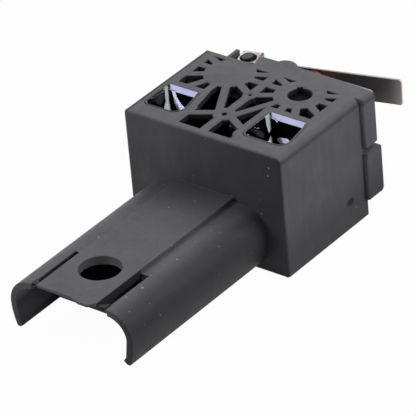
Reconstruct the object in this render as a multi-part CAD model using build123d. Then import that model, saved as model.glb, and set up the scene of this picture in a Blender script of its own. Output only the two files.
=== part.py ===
from build123d import *
import math
import os

# Snap-action switch in a moulded housing with a clip-in arm.
# Frame: X to the right, Y from the arm to the lever, Z up, origin at the middle of the housing's foot.

# Housing
house_w = 40.0
house_d = 28.4
house_h = 28.4
wall_t = 2.0
roof_t = 1.4
side_edge_r = 1.5
left_edge_r = 0.7
post_r = 0.6

# Top lattice
lattice_mid_x = -0.65
lattice_rear_gap = 1.3
lattice_front_gap = 1.9
lattice_side_left = 2.85
lattice_side_right = 4.05
hub_pitch = 18.0
hub_from_rear = 5.4
hub_r = 5.65
ring_hole_r = 2.6
ring_key_w = 1.2
ring_key_out = 0.55
ring_key_turn = 126.0
spoke_w = 1.75
spoke_angles = (0, 24, 156, 180, 210, 242, 270, 298, 330)
spine_w = 2.05
node_r = 2.45
node_hole_r = 0.6
knot_r = 1.6
knot_hole_r = 0.4
node_from_front = 9.0
brace_angle = 30.0
brace_rise = 0.95

# Pockets in the top
left_pocket_w = 9.5
left_pocket_d = 9.2
left_pocket_x = -13.6
left_pocket_y = 8.7
right_pocket_w = 11.0
right_pocket_d = 10.3
right_pocket_x = 12.5
right_pocket_y = 9.25
pocket_depth = 8.5
pocket_skirt = 0.9
pocket_wall = 0.45
pocket_slant = 1.3
pocket_frame = 1.75
pocket_bevel = 0.95
pocket_corner_r = 2.6
pocket_left_soft = 0.5

# Arm
arm_len = 45.5
arm_half_w = 15.5
arm_top_z = 15.6
arm_step = 0.95
arm_plate_w = 14.7
arm_plate_t = 2.1
arm_shell_t = 1.5
arm_corner_r = 5.9
arm_foot_z = 3.0
arm_foot_in = 0.7
arm_foot_h = 1.7
arm_tuck = 0.6
arm_lean = 1.1
arm_floor_t = 1.5
arm_floor_len = 33.0
mouth_edge_t = 0.6
mouth_lead = 2.8
tongue_over = 0.9
nose_over = 0.7
nose_x0 = 1.5
nose_x1 = 3.8
nose_corner = 1.2
tongue_len = 14.1
slot_w = 1.95
slot_bridge = 0.5
bridge_slant = 1.4
bridge_rise = 0.35
bridge_edge_t = 0.4
button_hole_r = 4.5
button_hole_back = 10.5
wire_hole_r = 3.5
wire_hole_z = 8.5

# Rear hood, flange and cover
hood_over = 3.5
hood_left_x = -14.5
hood_fin_t = 0.8
hood_fin_drop = 3.0
lug_x = -1.4
lug_y = 16.6
lug_r = 2.95
lug_edge_r = 0.7
hood_side_t = 2.2
notch_right_x = -7.7
flange_out = 0.8
flange_grip = 0.9
flange_gap = 1.3
flange_edge = 0.6
block_over = 4.8
block_low_z = 3.9
block_above_shelf = 0.4
block_edge_r = 0.9
shelf_t = 2.0
shelf_back = 1.5
shelf_front_in = 10.4
relief_drop = 0.3
relief_right_x = -7.3
cover_hollow = 1.3
cover_hollow_x = 17.0
cover_hollow_rim = 2.2

# Switch
case_l = 27.8
case_w = 15.9
case_t = 10.3
case_left_x = -12.9
case_over = 4.6
case_wall = 1.2
lid_t = 1.5
case_hole_r = 1.6
case_hole_in = 2.8
case_boss_r = 2.2
post_fit = 0.1
post_h = 8.8
pivot_from_left = 1.9
pivot_from_rear = 1.8
peg_r = 1.77
peg_tip_r = 1.35
peg_tip_h = 0.43
peg_h = 1.05
peg_fit = 0.08

# Lever
lever_t = 0.5
lever_open = 15.0
lever_len = 33.2
lever_w = 6.0
lever_rise = 0.6
lever_web_off = 2.05
lever_web_start = -0.3
ear_left = 2.1
ear_right = 2.6
ear_front = 1.9
ear_gap = 0.12
ear_corner_r = 0.6
web_len = 10.0
web_low = 1.4

# Plunger and contacts
plunger_from_pivot = 13.7
plunger_w = 4.8
plunger_t = 7.0
plunger_gap = 0.1
plunger_tip_gap = 0.3
plunger_flange = 0.6
plunger_flange_t = 1.7
plunger_stop_gap = 0.2
plunger_foot_w = 2.0
blade_t = 0.3
blade_w = 4.0
blade_roll_r = 0.5
blade_roll_fit = 0.05
blade_from_front = 8.9
blade_root_in = 2.4
blade_end_in = 22.2
contact_in = 20.7
contact_r = 1.6
contact_h = 0.5
contact_gap = 2.35
spring_t = 0.25
spring_w = 3.0
spring_foot = 2.6
spring_foot_end = 1.0
spring_reach = 5.0
spring_bow = 0.9
tab_w = 4.75
tab_t = 0.8
tab_out = 6.3
tab_hole_r = 0.85
tab_hole_in = 2.0
closed_rise_x = 10.9
common_in = 6.4
open_in = 12.15
closed_in = 17.9

# Screws
base_t = 2.4
base_gap = 0.05
screw_r = 1.25
screw_head_r = 2.5
screw_head_h = 1.3
screw_len = 9.0
screw_boss_r = 2.7
screw_recess = 0.1
screw_slot_w = 0.7
screw_slot_d = 0.6
screw_fit = 0.05
screw_spare = 0.5
base_screw_in = 3.2
boss_rib_t = 1.6
cover_screw_x = 9.0
cover_screw_z = 9.2

front_y = -house_d / 2
rear_y = house_d / 2
os.makedirs("parts", exist_ok=True)


def block(x0, x1, y0, y1, z0, z1):
    return Pos((x0 + x1) / 2, (y0 + y1) / 2, (z0 + z1) / 2) * Box(x1 - x0, y1 - y0, z1 - z0)


def post(x, y, z0, z1, radius):
    return Pos(x, y, (z0 + z1) / 2) * Cylinder(radius, z1 - z0)


def rod(x, z, y0, y1, radius):
    return Pos(x, (y0 + y1) / 2, z) * Rot(90, 0, 0) * Cylinder(radius, y1 - y0)


def strip(x0, x1, y0, y1):
    return Pos((x0 + x1) / 2, (y0 + y1) / 2) * Rectangle(x1 - x0, y1 - y0)


def prism(points, plane, length):
    face = make_face(Polyline(*points, close=True))
    return extrude(plane * face, amount=length)


# Places that several pieces share
half_w = house_w / 2
hub_y = rear_y - hub_from_rear
hub_xs = (lattice_mid_x - hub_pitch / 2, lattice_mid_x + hub_pitch / 2)
roof_z = house_h - roof_t
case_right_x = case_left_x + case_l
case_rear_y = rear_y + case_over
case_front_y = case_rear_y - case_w
case_top_z = roof_z
case_low_z = case_top_z - case_t
pivot_x = case_left_x + pivot_from_left
pivot_y = case_rear_y - pivot_from_rear
case_holes = [
    (case_left_x + case_hole_in, case_front_y + case_hole_in),
    (case_right_x - case_hole_in, case_rear_y - case_hole_in),
]
shelf_z = case_low_z
block_top_z = shelf_z - shelf_t + block_above_shelf
flange_low_z = block_top_z + flange_gap
node_y = front_y + node_from_front
knot_y = hub_y - hub_pitch / 2 * math.tan(math.radians(30))
pockets = {
    "left_pocket": (left_pocket_x, front_y + left_pocket_y, left_pocket_w, left_pocket_d),
    "right_pocket": (right_pocket_x, front_y + right_pocket_y, right_pocket_w, right_pocket_d),
}


# Pocket cups: a square mouth with soft front corners, steep walls and one bright bevel at the rear
def pocket_mouth(x, y, width, depth, grow=0.0, cut_rear=0.0):
    left, right = x - width / 2 - grow, x + width / 2 + grow
    front, rear = y - depth / 2 - grow, y + depth / 2 + grow - cut_rear
    soft = pocket_corner_r + grow
    lean = pocket_slant / (depth - pocket_corner_r)
    front_right, rear_right = right + lean * soft, right - lean * (rear - front - soft)
    mouth = make_face(Polyline(
        (left, front), (front_right, front), (rear_right, rear), (left, rear), close=True,
    ))
    mouth = fillet(mouth.vertices().sort_by_distance((front_right, front))[:1], soft)
    return fillet(mouth.vertices().sort_by_distance((left, front))[:1], soft * pocket_left_soft)


def pocket_block(place, grow, depth, cut_rear=0.0):
    return extrude(Pos(0, 0, house_h - depth) * pocket_mouth(*place, grow, cut_rear), amount=depth)


def pocket_cup(place):
    x, y, width, depth = place
    cup = pocket_block(place, 0, pocket_depth)
    cup -= pocket_block(place, -pocket_wall, pocket_depth - pocket_wall, pocket_bevel - pocket_wall)
    rear = y + depth / 2
    lower = rear - pocket_bevel
    wedge = [(rear, house_h), (lower, house_h), (lower, house_h - pocket_bevel)]
    bevel_w = width - pocket_slant - 2 * pocket_wall
    return cup - Pos(x - width / 2 + pocket_wall, 0, 0) * prism(wedge, Plane.YZ, bevel_w)


# Lattice: what stays of the roof between its margins
def lattice_openings():
    left = -half_w + lattice_side_left
    right = half_w - lattice_side_right
    window = strip(left, right, front_y + lattice_front_gap, rear_y - lattice_rear_gap)
    spine = strip(lattice_mid_x - spine_w / 2, lattice_mid_x + spine_w / 2, front_y, rear_y)
    kept = [spine]
    for hub_x in hub_xs:
        spokes = [Pos(hub_x, hub_y) * Circle(hub_r)]
        for angle in spoke_angles:
            spoke = Pos(house_d / 2, 0) * Rectangle(house_d, spoke_w)
            spokes.append(Pos(hub_x, hub_y) * Rot(0, 0, angle) * spoke)
        side = left if hub_x < lattice_mid_x else right
        own_side = strip(min(side, lattice_mid_x), max(side, lattice_mid_x), node_y, rear_y)
        kept.append(Sketch() + spokes & own_side)
    kept.append(Pos(lattice_mid_x, node_y) * Circle(node_r))
    kept.append(Pos(lattice_mid_x, knot_y) * Circle(knot_r))
    for angle in (180 + brace_angle, -brace_angle):
        arm = Pos(house_w / 4, 0) * Rectangle(house_w / 2, spoke_w)
        kept.append(Pos(lattice_mid_x, node_y + brace_rise) * Rot(0, 0, angle) * arm)
    for x, y, width, depth in pockets.values():
        kept.append(pocket_mouth(x, y, width, depth, pocket_frame))
        kept.append(strip(x - width / 2 - pocket_skirt, x + width / 2 + pocket_frame, front_y, y))
    return window - (Sketch() + kept)


# Housing: a box open underneath, with the arm's channel growing from its front wall
housing = block(-half_w, half_w, front_y, rear_y, 0, house_h)
long_edges = housing.edges().filter_by(Axis.Y).group_by(Axis.Z)[-1].sort_by(Axis.X)
housing = fillet(long_edges[-1], side_edge_r)
housing = fillet(housing.edges().filter_by(Axis.Y).group_by(Axis.Z)[-1].sort_by(Axis.X)[0], left_edge_r)
housing = fillet(housing.edges().filter_by(Axis.Z).group_by(Axis.Y)[0], post_r)

arm_shell = arm_top_z - arm_step
arm_curve_x = arm_half_w - arm_corner_r
arm_curve_z = arm_shell - arm_corner_r
arm_in_r = arm_corner_r - arm_shell_t
arm_in_x = arm_half_w - arm_shell_t
arm_roof_z = arm_top_z - arm_plate_t
plate_x = arm_plate_w / 2
turn = math.sqrt(0.5)
arm_half = make_face([
    Polyline((0, arm_top_z), (plate_x, arm_top_z), (plate_x, arm_shell), (arm_curve_x, arm_shell)),
    ThreePointArc(
        (arm_curve_x, arm_shell),
        (arm_curve_x + arm_corner_r * turn, arm_curve_z + arm_corner_r * turn),
        (arm_half_w, arm_curve_z),
    ),
    ThreePointArc(
        (arm_half_w, arm_curve_z),
        (arm_half_w - arm_lean / 4, (arm_curve_z + arm_foot_z) / 2),
        (arm_half_w - arm_lean, arm_foot_z),
    ),
    Polyline(
        (arm_half_w - arm_lean, arm_foot_z),
        (arm_half_w - arm_lean - arm_shell_t / 2, arm_foot_z),
        (arm_in_x - arm_lean / 2 - arm_foot_in, arm_foot_z + arm_foot_in),
        (arm_in_x - arm_lean / 2, arm_foot_z + arm_foot_h),
        (arm_in_x, arm_curve_z),
    ),
    ThreePointArc(
        (arm_in_x, arm_curve_z),
        (arm_curve_x + arm_in_r * turn, arm_curve_z + arm_in_r * turn),
        (arm_curve_x, arm_curve_z + arm_in_r),
    ),
    Polyline(
        (arm_curve_x, arm_curve_z + arm_in_r),
        (plate_x, arm_curve_z + arm_in_r),
        (plate_x, arm_roof_z),
        (0, arm_roof_z),
        (0, arm_top_z),
    ),
])
arm_end_y = front_y - arm_len
tongue_end_y = arm_end_y - tongue_over
slot_end_y = arm_end_y + slot_bridge
slot_start_y = arm_end_y + tongue_len
arm_section = Plane.XZ.offset(-front_y - arm_tuck) * (arm_half + mirror(arm_half, Plane.YZ))
arm = extrude(arm_section, amount=arm_len + arm_tuck)
slot_x = plate_x + slot_w
shell_low_z = arm_shell - arm_shell_t
bridge_top_z = arm_shell + bridge_rise
for side in (-1, 1):
    slot_x0, slot_x1 = sorted((side * plate_x, side * slot_x))
    arm -= block(slot_x0, slot_x1, arm_end_y, slot_start_y, arm_foot_z + arm_foot_h, arm_top_z)
    bridge = [
        (side * plate_x, arm_end_y), (side * slot_x, arm_end_y),
        (side * slot_x, slot_end_y + bridge_slant), (side * plate_x, slot_end_y),
    ]
    arm += prism(bridge, Plane.XY.offset(shell_low_z), bridge_top_z - shell_low_z)
tongue = [
    (-plate_x, slot_end_y), (-plate_x, tongue_end_y), (nose_x0, tongue_end_y),
    (nose_x1, tongue_end_y - nose_over), (plate_x - nose_corner, tongue_end_y - nose_over),
    (plate_x, arm_end_y), (plate_x, slot_end_y),
]
arm += prism(tongue, Plane.XY.offset(arm_roof_z), arm_plate_t)
leads = [
    (plate_x, tongue_end_y, arm_roof_z, arm_top_z - mouth_edge_t),
    (slot_x, arm_end_y, shell_low_z, bridge_top_z - bridge_edge_t),
    (arm_curve_x, arm_end_y, shell_low_z, arm_shell - mouth_edge_t),
]
for lead_x, lead_y, low_z, high_z in leads:
    wedge = [
        (lead_y - nose_over, low_z), (arm_end_y + mouth_lead, low_z),
        (lead_y, high_z), (lead_y - nose_over, high_z),
    ]
    arm -= Pos(-lead_x, 0, 0) * prism(wedge, Plane.YZ, 2 * lead_x)
floor_x = arm_half_w - arm_lean - arm_shell_t / 2
arm += block(-floor_x, floor_x, front_y - arm_floor_len, front_y, arm_foot_z, arm_foot_z + arm_floor_t)
button_y = arm_end_y + button_hole_back
arm -= post(0, button_y, arm_roof_z - 1, arm_top_z + 1, button_hole_r)
housing += arm

# Hood over the switch, with a fin on the left, a side wall and a flange on the right
hood_y = rear_y + hood_over
flange_x = half_w + flange_out
lip_y = rear_y - flange_grip
hood_side_x = half_w - side_edge_r
hood = block(hood_left_x, hood_side_x, rear_y - wall_t, hood_y, roof_z, house_h)
lug = post(lug_x, lug_y, roof_z, house_h, lug_r)
hood += fillet(lug.edges().group_by(Axis.Z)[-1], lug_edge_r)
hood -= block(hood_left_x + hood_fin_t, notch_right_x, rear_y, hood_y + 1, roof_z - 1, house_h + 1)
hood += block(hood_left_x, hood_left_x + hood_fin_t, rear_y, hood_y, roof_z - hood_fin_drop, roof_z)
flange = block(hood_side_x, flange_x, lip_y, hood_y, roof_z, house_h)
flange += block(half_w, flange_x, lip_y, hood_y, flange_low_z, roof_z)
flange += block(flange_x - hood_side_t, half_w, rear_y, hood_y, flange_low_z, roof_z)
flange_top = flange.edges().filter_by(Axis.Y).sort_by(Axis.X)[-2:].sort_by(Axis.Z)[-1]
hood += chamfer(flange_top, flange_edge)
housing += hood

# Hollow, openings, screw bosses and the arm's wire passage
cavity_x = half_w - wall_t
cavity_y = house_d / 2 - wall_t
housing -= block(-cavity_x, cavity_x, -cavity_y, cavity_y, -1, roof_z)
housing -= block(hood_left_x + hood_fin_t, cavity_x, cavity_y, rear_y, shelf_z - shelf_t, roof_z)
housing -= extrude(Pos(0, 0, roof_z - 1) * lattice_openings(), amount=roof_t + 2)
ring_x = hub_xs[1]
housing -= post(ring_x, hub_y, roof_z - 1, house_h + 1, ring_hole_r)
key = Pos(ring_hole_r, 0, 0) * Box(2 * ring_key_out, ring_key_w, 4 * roof_t)
housing -= Pos(ring_x, hub_y, house_h) * Rot(0, 0, ring_key_turn) * key
housing -= post(lattice_mid_x, node_y, roof_z - 1, house_h + 1, node_hole_r)
housing -= post(lattice_mid_x, knot_y, roof_z - 1, house_h + 1, knot_hole_r)
base_holes = [
    (x * (cavity_x - base_screw_in), y * (cavity_y - base_screw_in)) for x in (-1, 1) for y in (-1, 1)
]
cover_holes = [(-cover_screw_x, cover_screw_z), (cover_screw_x, cover_screw_z)]
head_z = screw_head_h + screw_recess
boss_top_z = head_z + screw_len + screw_spare
pilot_r = screw_r + screw_fit
for x, y in base_holes:
    rib_x0, rib_x1 = sorted((x, math.copysign(cavity_x, x)))
    housing += block(rib_x0, rib_x1, y - boss_rib_t / 2, y + boss_rib_t / 2, base_t, boss_top_z)
    housing += post(x, y, base_t, boss_top_z, screw_boss_r)
    housing -= post(x, y, base_t, boss_top_z - screw_spare / 2, pilot_r)
cover_face_y = rear_y + block_over
head_y = cover_face_y - head_z
boss_end_y = head_y - screw_len - screw_spare
for x, z in cover_holes:
    housing += rod(x, z, boss_end_y, cavity_y, screw_boss_r)
    housing -= rod(x, z, boss_end_y + screw_spare / 2, rear_y, pilot_r)
housing -= rod(0, wire_hole_z, front_y - 1, front_y + wall_t + 1, wire_hole_r)
for place in pockets.values():
    housing -= pocket_block(place, 0, pocket_depth)
export_step(housing, "parts/housing.step")
for node, place in pockets.items():
    export_step(pocket_cup(place), f"parts/{node}.step")

# Base plate in the open foot, held by four screws
base_x, base_y = cavity_x - base_gap, cavity_y - base_gap
base = block(-base_x, base_x, -base_y, base_y, 0, base_t)
for x, y in base_holes:
    base -= post(x, y, 0, base_t, pilot_r)
    base -= post(x, y, 0, head_z, screw_head_r + screw_fit)
export_step(base, "parts/base_plate.step")

# Rear cover: a block that clips round the rear wall, with the switch's shelf and posts
cover = block(-flange_x, flange_x, rear_y, cover_face_y, block_low_z, block_top_z)
for side in (-1, 1):
    lip_x0, lip_x1 = sorted((side * half_w, side * flange_x))
    cover += block(lip_x0, lip_x1, lip_y, rear_y, block_low_z, block_top_z)
cover = fillet(cover.edges().filter_by(Axis.X).group_by(Axis.Y)[-1], block_edge_r)
cover -= block(
    -cover_hollow_x, cover_hollow_x, rear_y, rear_y + cover_hollow,
    block_low_z + cover_hollow_rim, shelf_z - shelf_t - cover_hollow_rim,
)
shelf_y = rear_y - shelf_front_in
cover += block(case_left_x, case_right_x, shelf_y, case_rear_y - shelf_back, shelf_z - shelf_t, shelf_z)
for x, y in case_holes:
    cover += post(x, y, shelf_z - shelf_t, shelf_z + post_h, case_hole_r - post_fit)
relief_z = case_low_z - peg_h - relief_drop
cover -= block(-half_w, relief_right_x, rear_y, case_rear_y, relief_z, case_low_z + 1)
for x, z in cover_holes:
    cover += rod(x, z, rear_y, head_y, screw_boss_r)
    cover -= rod(x, z, rear_y, cover_face_y, pilot_r)
    cover -= rod(x, z, head_y, cover_face_y, screw_head_r + screw_fit)
export_step(cover, "parts/rear_cover.step")

# Screws, one shape used for all
screw = post(0, 0, 0, screw_len, screw_r) + post(0, 0, -screw_head_h, 0, screw_head_r)
screw -= Pos(0, 0, -screw_head_h) * Box(2 * screw_head_r, screw_slot_w, 2 * screw_slot_d)
for count, (x, y) in enumerate(base_holes, 1):
    export_step(Pos(x, y, head_z) * screw, f"parts/base_screw_{count}.step")
for count, (x, z) in enumerate(cover_holes, 1):
    export_step(Pos(x, head_y, z) * Rot(90, 0, 0) * screw, f"parts/cover_screw_{count}.step")

# Switch case with its floor plate
room_x0, room_x1 = case_left_x + case_wall, case_right_x - case_wall
room_y0, room_y1 = case_front_y + case_wall, case_rear_y - case_wall
room_z0, room_z1 = case_low_z + lid_t, case_top_z - case_wall
mech_z = (room_z0 + room_z1) / 2
plunger_x = pivot_x + plunger_from_pivot
common_x, open_x, closed_x = case_left_x + common_in, case_left_x + open_in, case_left_x + closed_in
case = block(case_left_x, case_right_x, case_front_y, case_rear_y, room_z0, case_top_z)
case -= block(room_x0, room_x1, room_y0, room_y1, room_z0, room_z1)
lid = block(case_left_x, case_right_x, case_front_y, case_rear_y, case_low_z, room_z0)
for x, y in case_holes:
    case += post(x, y, room_z0, room_z1, case_boss_r)
    case -= post(x, y, room_z0, case_top_z, case_hole_r)
    lid -= post(x, y, case_low_z, room_z0, case_hole_r)
for x in (common_x, open_x, closed_x):
    case -= Pos(x, (case_front_y + room_y0) / 2, mech_z) * Box(tab_t, case_wall, tab_w)
plunger_slot = Box(plunger_w + 2 * plunger_gap, case_wall, plunger_t + 2 * plunger_gap)
case -= Pos(plunger_x, (room_y1 + case_rear_y) / 2, mech_z) * plunger_slot
peg = post(0, 0, 0, peg_h - peg_tip_h, peg_r)
peg += Pos(0, 0, peg_h - peg_tip_h / 2) * Cone(peg_r, peg_tip_r, peg_tip_h)
case += Pos(pivot_x, pivot_y, case_top_z) * peg
lid += Pos(pivot_x, pivot_y, case_low_z) * Rot(180, 0, 0) * peg
export_step(case, "parts/switch_case.step")
export_step(lid, "parts/switch_lid.step")

# Lever: ears on the pegs, a web behind the case and a straight blade, turned open about the pegs
ear_low_z, ear_top_z = case_low_z - ear_gap - lever_t, case_top_z + ear_gap + lever_t
blade_low_z, blade_top_z = mech_z + lever_rise - lever_w / 2, mech_z + lever_rise + lever_w / 2
web_face = make_face(Polyline(
    (lever_web_start, ear_low_z), (ear_right, ear_low_z), (ear_right, blade_low_z - web_low),
    (web_len, blade_low_z), (lever_len, blade_low_z), (lever_len, blade_top_z),
    (web_len, blade_top_z), (ear_right, blade_top_z + web_low / 2), (ear_right, ear_top_z),
    (lever_web_start, ear_top_z),
    close=True,
))
lever = extrude(Plane.XZ.offset(-lever_web_off) * web_face, amount=-lever_t)
ear = strip(-ear_left, ear_right, -ear_front, lever_web_off + lever_t)
ear = fillet(ear.vertices(), ear_corner_r) - Circle(peg_r + peg_fit)
for low_z in (ear_low_z, ear_top_z - lever_t):
    lever += extrude(Pos(0, 0, low_z) * ear, amount=lever_t)
pivot_place = Pos(pivot_x, pivot_y, 0)
lever = pivot_place * Rot(0, 0, lever_open) * lever
export_step(lever, "parts/lever.step")

# Plunger with a stop flange and a rounded tip and foot
tip_r = plunger_w / 2
open_angle = math.radians(lever_open)
tip_y = pivot_y + (
    lever_web_off - tip_r - plunger_tip_gap + plunger_from_pivot * math.sin(open_angle)
) / math.cos(open_angle)
blade_y = case_front_y + blade_from_front
foot_r = plunger_foot_w / 2
foot_y = blade_y + blade_t / 2 + plunger_tip_gap + foot_r
flange_half = plunger_w / 2 + plunger_flange
flange_top_y = room_y1 - plunger_stop_gap
plunger_face = strip(plunger_x - tip_r, plunger_x + tip_r, flange_top_y, tip_y)
plunger_face += Pos(plunger_x, tip_y) * Circle(tip_r)
flange_low_y = flange_top_y - plunger_flange_t
plunger_face += strip(plunger_x - flange_half, plunger_x + flange_half, flange_low_y, flange_top_y)
plunger_face += strip(plunger_x - foot_r, plunger_x + foot_r, foot_y, flange_top_y)
plunger_face += Pos(plunger_x, foot_y) * Circle(foot_r)
plunger = extrude(Pos(0, 0, mech_z - plunger_t / 2) * plunger_face, amount=plunger_t)
export_step(plunger, "parts/plunger.step")


# Terminals, contacts and the moving blade, each an upright strip seen from above
def upright(face, height):
    return extrude(Pos(0, 0, mech_z - height / 2) * face, amount=height)


def tab(x):
    face = strip(x - tab_t / 2, x + tab_t / 2, case_front_y - tab_out, room_y0)
    hole = Rot(0, 90, 0) * Cylinder(tab_hole_r, 2 * tab_t)
    return upright(face, tab_w) - Pos(x, case_front_y - tab_out + tab_hole_in, mech_z) * hole


def contact(x, y0, y1):
    return rod(x, mech_z, y0, y1, contact_r)


blade_root_x = case_left_x + blade_root_in
blade_end_x = case_left_x + blade_end_in
contact_x = case_left_x + contact_in
blade_y0, blade_y1 = blade_y - blade_t / 2, blade_y + blade_t / 2
closed_y = blade_y1 + 2 * contact_h
open_y = blade_y0 - contact_h - contact_gap - contact_h
common_y = case_holes[0][1] + case_boss_r + spring_t
common_inner = (
    strip(common_x - tab_t / 2, common_x + tab_t / 2, room_y0, common_y)
    + strip(blade_root_x - tab_t / 2, common_x + tab_t / 2, common_y, common_y + tab_t)
    + strip(blade_root_x - tab_t, blade_root_x + tab_t, common_y, blade_y0 - blade_roll_r / 4)
    - Pos(blade_root_x, blade_y) * Circle(blade_roll_r + blade_roll_fit)
)
open_inner = (
    strip(open_x - tab_t / 2, open_x + tab_t / 2, room_y0, open_y)
    + strip(open_x - tab_t / 2, blade_end_x, open_y - tab_t, open_y)
)
closed_inner = (
    strip(closed_x - tab_t / 2, closed_x + tab_t / 2, room_y0, room_y0 + 2 * tab_t)
    + strip(closed_x - tab_t / 2, closed_rise_x, room_y0 + tab_t, room_y0 + 2 * tab_t)
    + strip(closed_rise_x - tab_t, closed_rise_x, room_y0 + tab_t, closed_y + tab_t)
    + strip(contact_x - contact_r, closed_rise_x, closed_y, closed_y + tab_t)
)
export_step(tab(common_x) + upright(common_inner, tab_w), "parts/common_terminal.step")
export_step(tab(open_x) + upright(open_inner, tab_w), "parts/normally_open_terminal.step")
export_step(tab(closed_x) + upright(closed_inner, tab_w), "parts/normally_closed_terminal.step")
export_step(contact(contact_x, open_y, open_y + contact_h), "parts/normally_open_contact.step")
export_step(contact(contact_x, closed_y - contact_h, closed_y), "parts/normally_closed_contact.step")
rivet = contact(contact_x, blade_y0 - contact_h, blade_y1 + contact_h)
blade_face = strip(blade_root_x, blade_end_x, blade_y0, blade_y1)
blade_face += Pos(blade_root_x, blade_y) * Circle(blade_roll_r)
blade = upright(blade_face, blade_w)
export_step(blade - contact(contact_x, blade_y0, blade_y1), "parts/moving_blade.step")
export_step(rivet, "parts/moving_contact.step")
spring_y = common_y + tab_t + spring_t / 2
spring_path = Spline(
    (common_x - spring_foot, spring_y), (common_x - spring_foot_end, spring_y),
    (common_x + spring_foot, spring_y + 2 * spring_t),
    (common_x + spring_reach - spring_bow / 2, blade_y0 - spring_bow), (common_x + spring_reach, blade_y0),
)
export_step(upright(trace(spring_path, spring_t), spring_w), "parts/snap_spring.step")
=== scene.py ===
import bpy, math
from mathutils import Matrix, Vector


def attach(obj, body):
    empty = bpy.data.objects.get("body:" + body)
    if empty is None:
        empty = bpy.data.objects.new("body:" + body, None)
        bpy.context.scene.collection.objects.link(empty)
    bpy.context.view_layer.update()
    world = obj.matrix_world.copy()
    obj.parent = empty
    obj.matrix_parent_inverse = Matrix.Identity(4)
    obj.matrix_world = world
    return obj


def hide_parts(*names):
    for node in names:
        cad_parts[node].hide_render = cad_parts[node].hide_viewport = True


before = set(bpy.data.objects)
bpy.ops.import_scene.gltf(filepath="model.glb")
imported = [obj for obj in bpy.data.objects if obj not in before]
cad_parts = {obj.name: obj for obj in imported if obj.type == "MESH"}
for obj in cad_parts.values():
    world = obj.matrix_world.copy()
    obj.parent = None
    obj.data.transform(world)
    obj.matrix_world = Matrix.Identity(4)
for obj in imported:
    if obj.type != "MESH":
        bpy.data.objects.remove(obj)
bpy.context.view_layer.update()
print("frame loaded")

mm = 0.001  # looks give their lengths in mm, their places in the part's frame and their tones in bytes


def srgb(red, green, blue):
    def straight(value):
        value /= 255
        return value / 12.92 if value <= 0.04045 else ((value + 0.055) / 1.055) ** 2.4
    return (straight(red), straight(green), straight(blue), 1)


# Sums in a material are written as plain expressions on wires
class Wire:
    def __init__(self, tree, socket):
        self.tree, self.socket = tree, socket

    def maths(self, kind, first, second=None):
        node = self.tree.nodes.new("ShaderNodeMath")
        node.operation = kind
        for place, value in enumerate((first, second)):
            if isinstance(value, Wire):
                self.tree.links.new(value.socket, node.inputs[place])
            elif value is not None:
                node.inputs[place].default_value = value
        return Wire(self.tree, node.outputs[0])

    def __add__(self, other): return self.maths("ADD", self, other)
    def __radd__(self, other): return self.maths("ADD", other, self)
    def __sub__(self, other): return self.maths("SUBTRACT", self, other)
    def __rsub__(self, other): return self.maths("SUBTRACT", other, self)
    def __mul__(self, other): return self.maths("MULTIPLY", self, other)
    def __rmul__(self, other): return self.maths("MULTIPLY", other, self)
    def __truediv__(self, other): return self.maths("DIVIDE", self, other)
    def __gt__(self, other): return self.maths("GREATER_THAN", self, other)
    def __lt__(self, other): return self.maths("LESS_THAN", self, other)
    def __or__(self, other): return self.maths("MAXIMUM", self, other)
    def __abs__(self): return self.maths("ABSOLUTE", self)

    def root(self):
        return self.maths("SQRT", self)

    def clip(self):
        return self.maths("MINIMUM", self.maths("MAXIMUM", self, 0.0), 1.0)

    # 0 at low, 1 at high, straight between, whichever is the larger number
    def ramp(self, low, high):
        return ((self - low) / (high - low)).clip()

    # 1 within half a width of a place
    def near(self, place, half):
        return abs(self - place) < half


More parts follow.
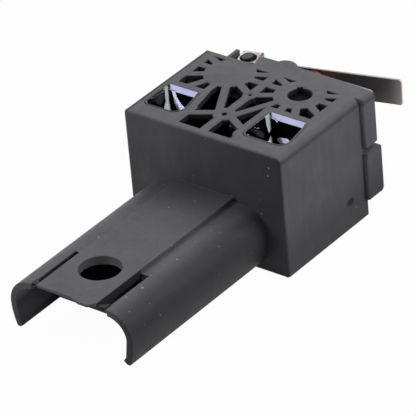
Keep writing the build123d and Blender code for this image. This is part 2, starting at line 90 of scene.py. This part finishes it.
# One material: its principled shader, its object coordinates in millimetres and ways to add nodes
class Finish:
    def __init__(self, name, **values):
        self.material = bpy.data.materials.new(name)
        self.material.use_nodes = True
        self.tree = self.material.node_tree
        self.shader = next(n for n in self.tree.nodes if n.type == "BSDF_PRINCIPLED")
        for key, value in values.items():
            self.shader.inputs[key.replace("_", " ")].default_value = value
        self.place = self.node("ShaderNodeTexCoord").outputs["Object"]
        axes = self.node("ShaderNodeSeparateXYZ", Vector=self.place)
        self.x, self.y, self.z = (self.wire(axes.outputs[axis]) / mm for axis in "XYZ")

    def node(self, kind, settings=None, **sockets):
        node = self.tree.nodes.new(kind)
        for key, value in (settings or {}).items():
            setattr(node, key, value)
        for key, value in sockets.items():
            self.join(value, node.inputs[key.replace("_", " ")])
        return node

    def join(self, value, socket):
        if isinstance(value, Wire):
            value = value.socket
        if isinstance(value, bpy.types.NodeSocket):
            self.tree.links.new(value, socket)
        else:
            socket.default_value = value

    def wire(self, socket):
        return Wire(self.tree, socket)

    def feed(self, name, value):
        self.join(value, self.shader.inputs[name])

    def glossLevel(self, value):
        self.shader.inputs["Specular IOR Level"].default_value = value

    def noise(self, size, detail=3.0, rough=0.55, where=None):
        sockets = {"Vector": where or self.place, "Scale": 1 / (size * mm)}
        noise = self.node("ShaderNodeTexNoise", Detail=detail, Roughness=rough, **sockets)
        return self.wire(noise.outputs["Fac"])

    def stretched(self, *scale):
        mapping = self.node("ShaderNodeMapping", Vector=self.place)
        mapping.inputs["Scale"].default_value = scale
        return mapping.outputs["Vector"]

    # Small dots: a share of the cells of one size hold one each
    def specks(self, cell, radius, share):
        cells = self.node("ShaderNodeTexVoronoi", Vector=self.place, Scale=1 / (cell * mm))
        chance = self.wire(self.node("ShaderNodeSeparateColor", Color=cells.outputs["Color"]).outputs[0])
        return (self.wire(cells.outputs["Distance"]) < radius / cell) * (chance < share)

    # Tapered strokes on a flat face, each a chain of (u, v, radius)
    def strokes(self, u, v, chains, soft=0.12):
        mask = None
        for chain in chains:
            for (u0, v0, r0), (u1, v1, r1) in zip(chain, chain[1:]):
                du, dv = u1 - u0, v1 - v0
                along = (((u - u0) * du + (v - v0) * dv) / (du * du + dv * dv)).clip()
                away = self.length(u - u0 - along * du, v - v0 - along * dv)
                near = ((along * (r1 - r0) + r0 - away) / soft).clip()
                mask = near if mask is None else mask | near
        return mask

    def length(self, across, up):
        return (across * across + up * up).root()

    def mix(self, mask, low, high):
        node = self.node("ShaderNodeMix", {"data_type": "RGBA"})
        self.join(mask, node.inputs[0])
        self.join(low, node.inputs[6])
        self.join(high, node.inputs[7])
        return node.outputs[2]

    # A colour, written in bytes, laid over another where the mask is 1
    def paint(self, mask, under, colour):
        return self.mix(mask, under, srgb(*colour))

    # A roughness that swings evenly about its middle
    def worn(self, look):
        size, detail, swing = (look["wear"][key] for key in ("size", "detail", "swing"))
        return self.noise(size, detail) * swing + look["roughness"] - swing / 2

    def grain(self, height, strength, depth, facing=None):
        bump = self.node("ShaderNodeBump", Strength=strength, Distance=depth * mm, Height=height)
        if facing:
            self.join(facing, bump.inputs["Normal"])
        self.feed("Normal", bump.outputs["Normal"])


# Moulded plastic: a fine matt grain with cloudy handling marks, soft vertical smears, pale dust and painted
# shade
plasticLook = {
    "tone": (98, 97, 102), "darkTone": (84, 84, 89), "roughness": 0.5, "gloss": 0.1, "dustShare": 0.55,
    "cloud": {"size": 7.0, "ramp": (0.3, 0.72), "share": 0.65},
    "smear": {"size": 1.5, "scale": (1, 1, 0.2), "ramp": (0.42, 0.75), "share": 0.35, "polish": 0.07},
    "wear": {"size": 2.2, "detail": 4, "swing": 0.16},
    "grain": {"size": 0.2, "strength": 0.35, "depth": 0.012},
    "dust": {
        "tone": (190, 190, 196), "coarse": (3.1, 0.24), "fine": (1.9, 0.1), "below": 28.2, "leftOf": 19.6,
        "patch": 0.35, "ramp": (0.4, 0.6), "strength": 0.75, "height": 1.5,
    },
    # Painted shade: the plastic is painted darker towards its foot
    "shade": {"ramp": (13.5, 5.0), "share": 0.6, "tone": (48, 47, 50)},  # darker towards its foot
}
# The housing has painted shade on the right of its front wall, at the arm's root and right shoulder and in
# the slots beside the tongue. It has a small knock in its right side, painted dark as shade, with a pale
# fleck by it, painted shade on the cut walls in the lattice and as a line under the top's right edge, a dark
# line beside its left edge, and a painted highlight along its rear edge
housingLook = dict(
    plasticLook,
    # Painted shade on the front wall's right, at the arm's root and right shoulder and in its slots
    arm={
        "rootY": -14.2, "wallHalf": 0.15, "wallRamp": (-10.0, 18.0), "wallShare": 0.6, "wallLeast": 0.05,
        "fadeY": -26.0, "rootShare": 0.6, "clear": 0.1, "shoulderRamp": (9.8, 13.5), "shoulderShare": 0.85,
        "slotX": (7.29, 9.36), "slotY": -45.54, "slotZ": 15.45,
    },
    # The knock: a hollow in the bump, painted near black as shade, with a pale fleck beside it
    pit={
        "at": (20.0, 8.1, 6.3), "radius": (1.5, 1.1), "depth": 0.3, "ramp": (1.0, 0.7), "ragged": (0.5, 1.5),
        "tone": (16, 16, 17), "share": 0.95, "height": 14,
        "fleck": (10.0, 4.1), "fleckSize": 0.3, "fleckTone": (150, 122, 118), "fleckShare": 0.8,
    },
    lattice={"x": 18.4, "y": (-12.6, 13.9), "z": (26.5, 28.2), "tone": (30, 30, 32), "share": 0.85},
    edges={
        # Painted shade: a dark line under the top's right edge
        "sideShadeLine": {"z": 27.1, "half": 0.8, "rightOf": 19.2, "share": 0.5},
        "topSeam": {"x": -19.2, "half": 0.2, "above": 28.2, "share": 0.75},
        # Painted highlight: a light rim along the rear edge
        "rearHighlight": {"y": 18.62, "slant": -0.072, "above": 28.1, "rightOf": 3.0, "share": 0.6},
        "dark": (40, 40, 42), "light": (176, 172, 174),
    },
)
coverLook = dict(plasticLook, tone=(92, 91, 96), darkTone=(79, 79, 84))
caseLook = dict(
    plasticLook, tone=(24, 24, 25), darkTone=(15, 15, 16), roughness=0.45, gloss=0.02, dustShare=0.03,
    # The peg's top is grey, with a painted shadow: a dark crescent on its right
    peg={"above": 27.9, "middle": (-11.4, 16.9), "radius": 1.4, "tone": (88, 88, 91), "dark": (24, 24, 26)},
)
plungerLook = dict(
    plasticLook, tone=(116, 28, 30), darkTone=(94, 22, 24), roughness=0.4, gloss=0.15, dustShare=0.02,
)


def dustMask(finish, look, share):
    dust = finish.specks(*look["coarse"], share) | finish.specks(*look["fine"], share)
    dust = dust * (finish.z < look["below"]) * (finish.x < look["leftOf"])
    return dust * finish.noise(look["patch"], detail=2).ramp(*look["ramp"]) * look["strength"]


# Painted shade on the housing: the front wall's right, the arm's root and right shoulder and the slots
def armShade(finish, look):
    rootY, half = look["rootY"], look["wallHalf"]
    rightward = finish.x.ramp(*look["wallRamp"]) * look["wallShare"] + look["wallLeast"]
    wall = finish.y.near(rootY, half) * rightward
    root = (finish.y < rootY - half) * finish.y.ramp(look["fadeY"], rootY) * look["rootShare"]
    shoulder = (finish.y < rootY - look["clear"]) * finish.x.ramp(*look["shoulderRamp"])
    inner, outer = look["slotX"]
    slot = (abs(finish.x) > inner) * (abs(finish.x) < outer)
    slot = slot * (finish.y < look["slotY"]) * (finish.z < look["slotZ"])
    return wall | root | shoulder * look["shoulderShare"] | slot


def pitMask(finish, look):
    (x, y, z), (wide, high) = look["at"], look["radius"]
    size, swing = look["ragged"]
    away = finish.length((finish.y - y) / wide, (finish.z - z) / high)
    away = away + (finish.noise(size) - 0.5) * swing
    return away.ramp(*look["ramp"]) * finish.x.near(x, look["depth"])


# A pale fleck beside the knock
def fleckMask(finish, look):
    fleckY, fleckZ = look["fleck"]
    fleck = abs(finish.y - fleckY) + abs(finish.z - fleckZ) < look["fleckSize"]
    return fleck * (finish.x > look["at"][0] - look["depth"])


# Painted shade on the cut walls inside the lattice
def latticeShadeMask(finish, look):
    (front, rear), (low, high) = look["y"], look["z"]
    inside = (finish.y > front) * (finish.y < rear) * (finish.z > low) * (finish.z < high)
    return inside * (abs(finish.x) < look["x"])


def paintEdges(finish, tone, look):
    side, top, rear = look["sideShadeLine"], look["topSeam"], look["rearHighlight"]
    # Painted shade: a dark line under the top's right edge
    sideShadeLine = (1.0 - abs(finish.z - side["z"]) / side["half"]).clip() * (finish.x > side["rightOf"])
    topSeam = finish.x.near(top["x"], top["half"]) * (finish.z > top["above"])
    tone = finish.paint(sideShadeLine * side["share"] | topSeam * top["share"], tone, look["dark"])
    # Painted highlight along the rear edge
    rim = (finish.y > finish.x * rear["slant"] + rear["y"]) * (finish.z > rear["above"])
    return finish.paint(rim * (finish.x > rear["rightOf"]) * rear["share"], tone, look["light"])


def paintPeg(finish, tone, look):
    x, y = look["middle"]
    # Painted shadow: a dark crescent on the right of the peg's grey top
    crescentShadow = finish.length(finish.x - x, finish.y - y) > look["radius"]
    face = finish.paint(crescentShadow, srgb(*look["tone"]), look["dark"])
    return finish.mix(finish.z > look["above"], tone, face)


def makeMoulded(name, look):
    finish = Finish(name)
    finish.glossLevel(look["gloss"])
    cloudLook, smearLook, dustLook, shadeLook = (look[key] for key in ("cloud", "smear", "dust", "shade"))
    cloud = finish.noise(cloudLook["size"], detail=4).ramp(*cloudLook["ramp"])
    streaked = finish.stretched(*smearLook["scale"])
    smear = finish.noise(smearLook["size"], detail=5, rough=0.6, where=streaked).ramp(*smearLook["ramp"])
    uneven = cloud * cloudLook["share"] + smear * smearLook["share"]
    tone = finish.paint(uneven, srgb(*look["darkTone"]), look["tone"])
    # Painted shade: darker towards the foot and, on the housing, at its arm and front wall
    shade = finish.z.ramp(*shadeLook["ramp"]) * shadeLook["share"]
    if "arm" in look:
        shade = shade | armShade(finish, look["arm"])
    tone = finish.paint(shade, tone, shadeLook["tone"])
    dust = dustMask(finish, dustLook, look["dustShare"])
    tone = finish.paint(dust, tone, dustLook["tone"])
    height = finish.noise(look["grain"]["size"], detail=2) + dust * dustLook["height"]
    if "pit" in look:
        pit = look["pit"]
        hollow = pitMask(finish, pit)
        # Painted shade: the knock is painted near black; a pale fleck is painted beside it
        tone = finish.paint(hollow * pit["share"], tone, pit["tone"])
        tone = finish.paint(fleckMask(finish, pit) * pit["fleckShare"], tone, pit["fleckTone"])
        height = height - hollow * pit["height"]
    if "lattice" in look:
        # Painted shade on the lattice's cut walls
        lattice = look["lattice"]
        tone = finish.paint(latticeShadeMask(finish, lattice) * lattice["share"], tone, lattice["tone"])
    if "edges" in look:
        tone = paintEdges(finish, tone, look["edges"])
    if "peg" in look:
        tone = paintPeg(finish, tone, look["peg"])
    finish.feed("Base Color", tone)
    finish.feed("Roughness", finish.worn(look) - smear * smearLook["polish"])
    finish.grain(height, look["grain"]["strength"], look["grain"]["depth"])
    return finish.material


# The two cups: black gloss with a painted sheen, a painted reflection on the slope down to the rear wall, at
# 45 degrees from the top, and painted reflections in metallic streaks down their walls, whose normals turn
# the light up
cupGloss = {
    "black": (10, 10, 13), "sheen": (24, 24, 32), "sheenSize": 2.4, "sheenRamp": (0.4, 0.7), "gloss": 0.35,
    "side": (130, 134, 134), "rear": (166, 168, 196), "slope": (112, 114, 134),
    "wave": (1.1, 0.4), "wallHalf": 0.25, "slopeHalf": 0.16, "slopeZ": (27.45, 28.36),
    "turn": (0.24, -1.5, 3.5), "rough": (1.6, 0.12, 0.08), "slopeRough": 0.3, "ripple": (1.3, 0.5, 0.05),
}
cupLooks = {
    "left_pocket": {
        "sideX": -17.9, "rearY": -1.85,
        "sideReflectionStrokes": [
            [
                (-2.45, 28.7, 0.62), (-2.35, 26.8, 0.58), (-2.4, 25.0, 0.6), (-2.7, 23.8, 0.9),
                (-1.6, 22.7, 0.45),
            ],
            [(-3.26, 28.15, 0.16), (-3.3, 28.3, 0.12)],
            [(-2.9, 27.75, 0.07), (-7.5, 28.1, 0.05)],
        ],
        "rearReflectionStrokes": [
            [
                (-16.5, 27.9, 0.5), (-16.2, 26.3, 0.5), (-15.7, 24.8, 0.85), (-15.2, 24.0, 0.95),
                (-14.4, 23.9, 0.7),
            ],
        ],
    },
    "right_pocket": {
        "sideX": 7.45, "rearY": -0.75,
        "sideReflectionStrokes": [
            [(-1.35, 28.7, 0.85), (-1.25, 26.8, 0.68), (-1.1, 24.6, 0.45)],
            [(-0.75, 22.9, 0.3), (-0.9, 21.9, 0.75), (-2.3, 22.0, 0.4)],
            [(-3.44, 28.6, 0.15), (-3.5, 28.55, 0.12)], [(-4.6, 28.52, 0.16), (-4.5, 28.4, 0.1)],
            [(-5.64, 27.75, 0.14), (-5.7, 27.8, 0.1)], [(-7.9, 27.2, 0.16), (-8.3, 27.4, 0.1)],
            [(-4.3, 26.9, 0.1), (-5.2, 27.3, 0.08)],
        ],
        "rearReflectionStrokes": [
            [(8.65, 28.0, 0.26), (9.4, 27.15, 0.2)],
            [(9.9, 22.8, 0.75), (11.6, 23.2, 0.55)],
        ],
    },
}


# The normal leans by the turn where the streak is
def turnedNormal(finish, reflectionStreak, turn):
    lean = finish.node("ShaderNodeCombineXYZ", **{axis: reflectionStreak * part for axis, part in zip("XYZ", turn)})
    turned = finish.node("ShaderNodeVectorMath", {"operation": "ADD"})
    finish.join(finish.node("ShaderNodeNewGeometry").outputs["Normal"], turned.inputs[0])
    finish.join(lean.outputs[0], turned.inputs[1])
    level = finish.node("ShaderNodeVectorMath", {"operation": "NORMALIZE"})
    finish.join(turned.outputs[0], level.inputs[0])
    return level.outputs[0]


def makeCup(node, look):
    gloss = cupGloss
    finish = Finish(node + "Gloss")
    finish.glossLevel(gloss["gloss"])
    size, swing = gloss["wave"]
    wave = (finish.noise(size) - 0.5) * swing
    # Painted sheen: a faint paler cloud on the black
    sheen = finish.noise(gloss["sheenSize"]).ramp(*gloss["sheenRamp"])
    tone = finish.paint(sheen, srgb(*gloss["black"]), gloss["sheen"])
    half = gloss["wallHalf"]
    side = finish.strokes(finish.y + wave, finish.z, look["sideReflectionStrokes"]) * finish.x.near(look["sideX"], half)
    rear = finish.strokes(finish.x + wave, finish.z, look["rearReflectionStrokes"]) * finish.y.near(look["rearY"], half)
    low, high = gloss["slopeZ"]
    slope = abs(finish.y - finish.z + (low - look["rearY"])) < gloss["slopeHalf"]
    slope = slope * (finish.z > low) * (finish.z < high)
    # Painted reflections: pale streaks on the side and rear walls and a band on the slope
    for mask, colour in ((side, "side"), (rear, "rear"), (slope, "slope")):
        tone = finish.paint(mask, tone, gloss[colour])
    reflectionStreak = side | rear
    roughSize, roughSwing, roughLeast = gloss["rough"]
    rough = finish.noise(roughSize, detail=2) * roughSwing + roughLeast
    finish.feed("Base Color", tone)
    finish.feed("Metallic", reflectionStreak | slope)
    finish.feed("Roughness", rough + slope * gloss["slopeRough"])
    rippleSize, strength, depth = gloss["ripple"]
    ripple = finish.noise(rippleSize, detail=2)
    finish.grain(ripple, strength, depth, turnedNormal(finish, reflectionStreak, gloss["turn"]))
    return finish.material


# Sheet steel, brushed, with painted reflections: dark along the blade, bright towards its lower free corner
# and, on the face that is turned to the plunger, a red tinge from it. Its pale ears have painted shade at
# their far ends.
# Places along it start at the hinge
steelLook = {
    "pivot": (-11.0, 17.0), "lean": 15.0, "length": 33.2, "low": 19.6, "high": 25.6, "roughness": 0.38,
    "brush": {
        "size": 0.16, "scale": (1, 1, 0.12), "tone": 0.5, "rough": 0.2, "strength": 0.2, "depth": 0.004,
    },
    "dark": (176, 171, 169), "mid": (190, 186, 183), "midRamp": (15, 26), "midShare": 0.6,
    "bright": (232, 220, 208), "brightFrom": 22, "brightRamp": (0.72, 1.5), "brightParts": (0.75, 0.75, 0.35),
    "red": (120, 40, 42), "redStart": 9.5, "redRamp": (15.6, 13.8), "redHeight": (1.15, 0.7), "redShare": 0.5,
    "redPatch": (0.8, 0.5),
    "edge": (104, 96, 93), "edgeHalves": (0.12, 0.1), "edgeShare": 0.8,
    "ear": (164, 156, 151), "earLight": (180, 168, 161), "earPatch": 0.5, "earRamp": (0.35, 0.7),
    "earZ": (18.8, 27.0),
    # Painted shade on the far, rounded ends of the ears
    "earEndShade": (44, 42, 42), "earEndShadeFrom": 2.15, "earEndShadeAbove": 27.5, "earEndShadeShare": 0.85,
    "dust": (222, 220, 216), "specks": (2.3, 0.11, 0.12), "dustStrength": 0.8,
}


def makeSteel(name, look):
    finish = Finish(name, Metallic=1.0)
    lean, brush = math.radians(look["lean"]), look["brush"]
    x, y = look["pivot"]
    along = (finish.x - x) * math.cos(lean) + (finish.y - y) * math.sin(lean)
    low = (look["high"] - finish.z) / (look["high"] - look["low"])
    drawn = finish.stretched(*brush["scale"])
    brushed = finish.noise(brush["size"], detail=4, rough=0.7, where=drawn) - 0.5
    # Painted reflection: the blade darker near the hinge and paler along it, with its brushing
    middle = along.ramp(*look["midRamp"]) * look["midShare"] + brushed * brush["tone"]
    tone = finish.paint(middle, srgb(*look["dark"]), look["mid"])

    # Painted reflection: brighter towards the blade's lower free corner
    lowPart, endPart, brushPart = look["brightParts"]
    bright = low * lowPart + along.ramp(look["brightFrom"], look["length"]) * endPart + brushed * brushPart
    tone = finish.paint(bright.ramp(*look["brightRamp"]), tone, look["bright"])

    # Painted reflection of the red plunger, on the face turned to it
    patchSize, patchSwing = look["redPatch"]
    red = along.ramp(*look["redRamp"]) * (along > look["redStart"])
    red = red * (low + finish.noise(patchSize) * patchSwing).ramp(*look["redHeight"])
    normal = finish.node("ShaderNodeNewGeometry").outputs["Normal"]
    towardY = finish.wire(finish.node("ShaderNodeSeparateXYZ", Vector=normal).outputs["Y"])
    tone = finish.paint(red * (towardY < 0.0) * look["redShare"], tone, look["red"])

    lowHalf, highHalf = look["edgeHalves"]
    rim = finish.z.near(look["low"], lowHalf) | finish.z.near(look["high"], highHalf)
    tone = finish.paint(rim * look["edgeShare"], tone, look["edge"])

    earBelow, earAbove = look["earZ"]
    stained = finish.noise(look["earPatch"], detail=4).ramp(*look["earRamp"])
    earTone = finish.paint(stained, srgb(*look["ear"]), look["earLight"])
    tone = finish.mix((finish.z > earAbove) | (finish.z < earBelow), tone, earTone)
    # Painted shade on the far ends of the ears
    earEndShade = (along > look["earEndShadeFrom"]) * (finish.z > look["earEndShadeAbove"]) * look["earEndShadeShare"]
    tone = finish.paint(earEndShade, tone, look["earEndShade"])
    tone = finish.paint(finish.specks(*look["specks"]) * look["dustStrength"], tone, look["dust"])

    finish.feed("Base Color", tone)
    finish.feed("Roughness", brushed * brush["rough"] + look["roughness"])
    finish.grain(brushed, brush["strength"], brush["depth"])
    return finish.material


# The small metal parts: a light cloud between two tones, a little uneven in polish
metalLook = {
    "cloud": 3.0, "wear": {"size": 0.8, "detail": 3, "swing": 0.12},
    "grain": {"size": 0.3, "strength": 0.2, "depth": 0.004},
}
metalLooks = {
    "screwSteel": dict(metalLook, low=(150, 150, 150), high=(182, 182, 182), roughness=0.3),
    "terminalBrass": dict(metalLook, low=(112, 102, 80), high=(132, 120, 94), roughness=0.36),
    "bladeCopper": dict(metalLook, low=(180, 118, 76), high=(200, 140, 96), roughness=0.3),
    "contactSilver": dict(metalLook, low=(205, 205, 200), high=(225, 225, 220), roughness=0.22),
}


def makeMetal(name, look):
    finish = Finish(name, Metallic=1.0)
    grain = look["grain"]
    finish.feed("Base Color", finish.paint(finish.noise(look["cloud"]), srgb(*look["low"]), look["high"]))
    finish.feed("Roughness", finish.worn(look))
    finish.grain(finish.noise(grain["size"]), grain["strength"], grain["depth"])
    return finish.material


housingPlastic = makeMoulded("housingPlastic", housingLook)
coverPlastic = makeMoulded("coverPlastic", coverLook)
casePlastic = makeMoulded("casePlastic", caseLook)
plungerPlastic = makeMoulded("plungerPlastic", plungerLook)
leverSteel = makeSteel("leverSteel", steelLook)
metals = {name: makeMetal(name, look) for name, look in metalLooks.items()}
print("finishes made")


# How every moulding is rounded: angles in degrees
roundLook = {"weld": 0.002, "bevelWeld": 0.001, "edgeAngle": 40, "smoothAngle": 50, "flatWeight": 100}
stepLook = {"near": 0.05, "width": 0.7, "segments": 4}
endLook = {"reach": 0.4, "shortest": 0.3, "longest": 0.7, "width": 0.55, "segments": 5}


def deselect():
    bpy.ops.object.select_all(action="DESELECT")


# Welds the vertices that lie closer than the distance, with the piece active
def weld(distance):
    bpy.ops.mesh.select_all(action="SELECT")
    bpy.ops.mesh.remove_doubles(threshold=distance * mm)


def selectEdges(piece, wanted):
    mesh = piece.data
    for item in (*mesh.vertices, *mesh.edges, *mesh.polygons):
        item.select = False
    for index in wanted:
        edge = mesh.edges[index]
        edge.select = True
        for vertex in edge.vertices:
            mesh.vertices[vertex].select = True


# Edges that stand out, where two faces turn away from each other by more than the angle
def outerEdges(piece, angle):
    mesh = piece.data
    sides = {}
    for face in mesh.polygons:
        for key in face.edge_keys:
            sides.setdefault(key, []).append(face)
    wanted = set()
    for edge in mesh.edges:
        faces = sides.get(edge.key, [])
        if len(faces) == 2:
            first, second = faces
            outward = first.normal.dot(second.center - first.center) < 0
            if outward and first.normal.angle(second.normal, 0) > math.radians(angle):
                wanted.add(edge.index)
    return wanted


def bevelEdges(piece, wanted, width, segments):
    selectEdges(piece, wanted)
    bpy.context.tool_settings.mesh_select_mode = (False, True, False)
    bpy.ops.object.mode_set(mode="EDIT")
    bpy.ops.mesh.bevel(
        offset=width * mm, segments=segments, affect="EDGES", clamp_overlap=False, miter_outer="ARC"
    )
    weld(roundLook["bevelWeld"])
    bpy.ops.object.mode_set(mode="OBJECT")


# The step where a flange at the right stands proud of the side wall is a soft slope
def softStep(piece):
    mesh = piece.data
    near = stepLook["near"] * mm
    outX = max(vertex.co.x for vertex in mesh.vertices)
    frontY = min(vertex.co.y for vertex in mesh.vertices if vertex.co.x > outX - near)
    wanted = set()
    for edge in mesh.edges:
        ends = [mesh.vertices[vertex].co for vertex in edge.vertices]
        if all(end.x > outX - near and end.y < frontY + near for end in ends):
            wanted.add(edge.index)
    bevelEdges(piece, wanted, stepLook["width"], stepLook["segments"])


# Two soft corners at the free end of the lever's blade
def softEnd(piece):
    mesh = piece.data
    endX = max(vertex.co.x for vertex in mesh.vertices)
    wanted = set()
    for edge in mesh.edges:
        first, second = (mesh.vertices[vertex].co for vertex in edge.vertices)
        atEnd = min(first.x, second.x) > endX - endLook["reach"] * mm
        if atEnd and endLook["shortest"] * mm < (first - second).length < endLook["longest"] * mm:
            wanted.add(edge.index)
    bevelEdges(piece, wanted, endLook["width"], endLook["segments"])


# No rounding may reach past the solid it is cut from
def heldInside(piece, solid):
    corners = [vertex.co for vertex in solid.data.vertices]
    low = [min(corner[axis] for corner in corners) for axis in range(3)]
    high = [max(corner[axis] for corner in corners) for axis in range(3)]
    for vertex in piece.data.vertices:
        vertex.co = [min(max(value, least), most) for value, least, most in zip(vertex.co, low, high)]


# A finer copy of a solid: its triangles are joined and its outer edges rounded
def rounded(node, body, material, edge, segments=2, shape=None):
    deselect()
    piece = bpy.data.objects.new(node + "_moulded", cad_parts[node].data.copy())
    bpy.context.collection.objects.link(piece)
    piece.select_set(True)
    bpy.context.view_layer.objects.active = piece
    bpy.ops.mesh.customdata_custom_splitnormals_clear()
    bpy.context.tool_settings.mesh_select_mode = (True, False, False)
    bpy.ops.object.mode_set(mode="EDIT")
    weld(roundLook["weld"])
    bpy.ops.object.mode_set(mode="OBJECT")
    if shape:
        shape(piece)
    bevelEdges(piece, outerEdges(piece, roundLook["edgeAngle"]), edge, segments)
    heldInside(piece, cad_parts[node])
    piece.data.materials.clear()
    piece.data.materials.append(material)
    bpy.ops.object.shade_smooth_by_angle(angle=math.radians(roundLook["smoothAngle"]))
    flat = piece.modifiers.new("flatFaces", "WEIGHTED_NORMAL")
    flat.weight, flat.keep_sharp = roundLook["flatWeight"], True
    bpy.ops.object.modifier_apply(modifier="flatFaces")
    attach(piece, body)
    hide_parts(node)


rounded("housing", "body", housingPlastic, edge=0.16, shape=softStep)
rounded("rear_cover", "body", coverPlastic, edge=0.14, shape=softStep)
rounded("base_plate", "body", housingPlastic, edge=0.2)
rounded("switch_case", "body", casePlastic, edge=0.12)
rounded("switch_lid", "body", casePlastic, edge=0.12)
rounded("plunger", "plunger", plungerPlastic, edge=0.3, segments=3)
rounded("lever", "lever", leverSteel, edge=0.06, shape=softEnd)
for node, look in cupLooks.items():
    rounded(node, "body", makeCup(node, look), edge=0.06)
for node in [f"base_screw_{count}" for count in (1, 2, 3, 4)] + ["cover_screw_1", "cover_screw_2"]:
    rounded(node, "body", metals["screwSteel"], edge=0.1)
print("mouldings rounded")

# The inner metal parts stay the solids that they are
plainNodes = {
    "terminalBrass": ("common_terminal", "normally_open_terminal", "normally_closed_terminal"),
    "contactSilver": ("moving_contact", "normally_open_contact", "normally_closed_contact"),
    "bladeCopper": ("moving_blade",),
    "screwSteel": ("snap_spring",),
}
for metal, nodes in plainNodes.items():
    for node in nodes:
        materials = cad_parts[node].data.materials
        materials.clear()
        materials.append(metals[metal])
print("metal parts finished")

# Lengths and places in metres, powers in watts, angles in degrees, the lens and its sensor in mm
studio = {
    "floorSize": 4.0, "floorZ": -0.00005, "floorTone": (180, 180, 180), "floorRoughness": 0.9,
    "floorLift": 0.97, "worldStrength": 0.12, "aim": (0, 0, 0.01),
    "lamps": [
        {"name": "rearLamp", "place": (-0.15, 0.65, 0.5), "size": 0.6, "power": 2.1},
        {"name": "topLamp", "place": (0.1, -0.1, 0.9), "size": 0.5, "power": 1.15},
        {"name": "rightLamp", "place": (0.26, 0.14, 0.26), "size": 0.2, "power": 0.85},
        {"name": "leftLamp", "place": (-0.35, -0.3, 0.4), "size": 0.3, "power": 1.5},
    ],
}
shot = {
    "azimuth": 39.698, "elevation": 31.652, "roll": -5.217, "distance": 0.885,
    "centre": (0, -0.0142, 0.015), "across": 0.0005, "up": -0.00363, "lens": 373.57, "sensor": 36,
    "clip": (0.01, 20),
}


# 1 for the rays that should see plain white: straight from the camera, mirrored or let through
def whiteRays(tree):
    path = tree.nodes.new("ShaderNodeLightPath")
    camera, glossy, through = (
        Wire(tree, path.outputs[f"Is {kind} Ray"]) for kind in ("Camera", "Glossy", "Transmission")
    )
    return camera + glossy + through


def makeFloor():
    deselect()
    bpy.ops.mesh.primitive_plane_add(size=studio["floorSize"], location=(0, 0, studio["floorZ"]))
    floor = bpy.context.active_object
    floor.name = "studioFloor"
    finish = Finish("studioFloor", Roughness=studio["floorRoughness"])
    finish.feed("Base Color", srgb(*studio["floorTone"]))
    white = finish.node("ShaderNodeEmission", Color=(1, 1, 1, 1), Strength=1.0)
    blend = finish.node("ShaderNodeMixShader")
    finish.join(whiteRays(finish.tree) * studio["floorLift"], blend.inputs[0])
    finish.join(finish.shader.outputs[0], blend.inputs[1])
    finish.join(white.outputs[0], blend.inputs[2])
    output = next(n for n in finish.tree.nodes if n.type == "OUTPUT_MATERIAL")
    finish.join(blend.outputs[0], output.inputs["Surface"])
    floor.data.materials.append(finish.material)


def makeWorld():
    world = bpy.data.worlds.new("studioWorld")
    bpy.context.scene.world = world
    world.use_nodes = True
    tree = world.node_tree
    back = next(n for n in tree.nodes if n.type == "BACKGROUND")
    back.inputs["Color"].default_value = (1, 1, 1, 1)
    strength = whiteRays(tree) * (1 - studio["worldStrength"]) + studio["worldStrength"]
    tree.links.new(strength.socket, back.inputs["Strength"])


def makeLamp(look):
    lamp = bpy.data.lights.new(look["name"], "AREA")
    lamp.energy = look["power"]
    lamp.size = look["size"]
    holder = bpy.data.objects.new(look["name"], lamp)
    bpy.context.collection.objects.link(holder)
    holder.location = look["place"]
    toward = Vector(studio["aim"]) - Vector(look["place"])
    holder.rotation_euler = toward.to_track_quat("-Z", "Y").to_euler()


def makeCamera():
    azimuth, elevation, roll = (math.radians(shot[key]) for key in ("azimuth", "elevation", "roll"))
    level = math.cos(elevation)
    back = Vector((math.sin(azimuth) * level, -math.cos(azimuth) * level, math.sin(elevation)))
    right = Vector((math.cos(azimuth), math.sin(azimuth), 0))
    up = back.cross(right)
    rolledRight = math.cos(roll) * right + math.sin(roll) * up
    rolledUp = -math.sin(roll) * right + math.cos(roll) * up
    place = Vector(shot["centre"]) + back * shot["distance"]
    place = place + rolledRight * shot["across"] + rolledUp * shot["up"]
    lens = bpy.data.cameras.new("shotCamera")
    lens.sensor_width = shot["sensor"]
    lens.lens = shot["lens"]
    lens.clip_start, lens.clip_end = shot["clip"]
    camera = bpy.data.objects.new("shotCamera", lens)
    bpy.context.collection.objects.link(camera)
    turned = Matrix((rolledRight, rolledUp, back)).transposed().to_4x4()
    camera.matrix_world = Matrix.Translation(place) @ turned
    bpy.context.scene.camera = camera


makeFloor()
makeWorld()
for look in studio["lamps"]:
    makeLamp(look)
makeCamera()
bpy.context.scene.view_settings.view_transform = "Standard"
print("studio set")
